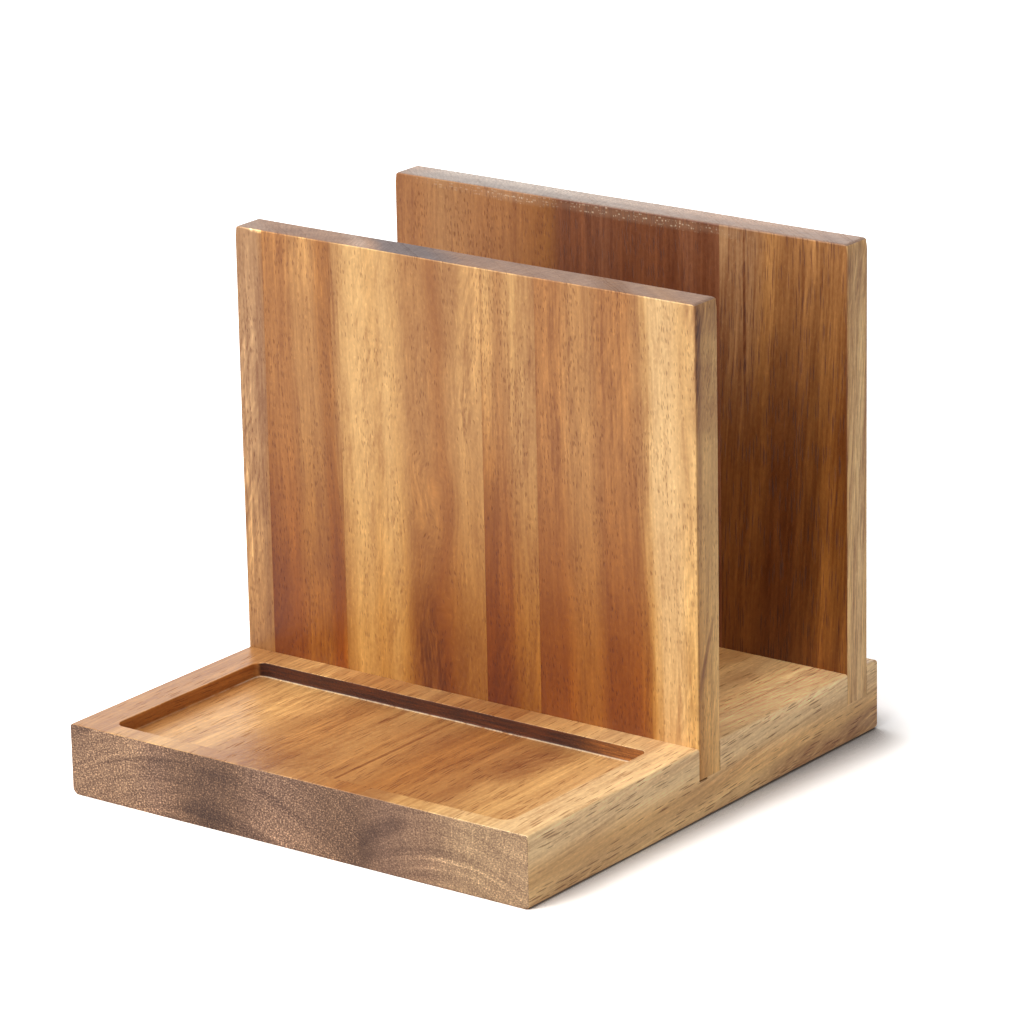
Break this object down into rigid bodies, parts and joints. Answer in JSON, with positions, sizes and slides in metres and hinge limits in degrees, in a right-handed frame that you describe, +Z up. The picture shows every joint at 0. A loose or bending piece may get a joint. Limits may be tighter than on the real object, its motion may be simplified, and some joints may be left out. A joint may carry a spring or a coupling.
{
  "type": "napkin holder",
  "caption": "Upright napkin holder in edge-glued acacia: two square panels stand in grooves across a thick base with a shallow routed tray in front.",
  "frame": {"origin": "on the table, at the middle of the base's footprint", "axes": "+Z up, +X to the right, the tray towards -Y, the rear panel towards +Y"},
  "size_m": [0.178, 0.1906, 0.165],
  "materials": {
    "acacia_golden": "satin clear lacquer over pale golden acacia with brown streaks",
    "acacia_brown": "satin clear lacquer over mid-brown acacia heartwood",
    "acacia_russet": "satin clear lacquer over reddish-brown acacia heartwood",
    "zinc_steel": "zinc-plated steel"
  },
  "bodies": {
    "root": {"base_stave_left": "acacia_brown", "base_stave_right": "acacia_golden", "front_panel_stave_1": "acacia_brown", "front_panel_stave_2": "acacia_russet", "front_panel_stave_3": "acacia_golden", "front_panel_stave_4": "acacia_brown", "front_panel_stave_5": "acacia_golden", "rear_panel_stave_1": "acacia_brown", "rear_panel_stave_2": "acacia_russet", "rear_panel_stave_3": "acacia_brown", "panel_screws": "zinc_steel"}
  },
  "joints": []
}
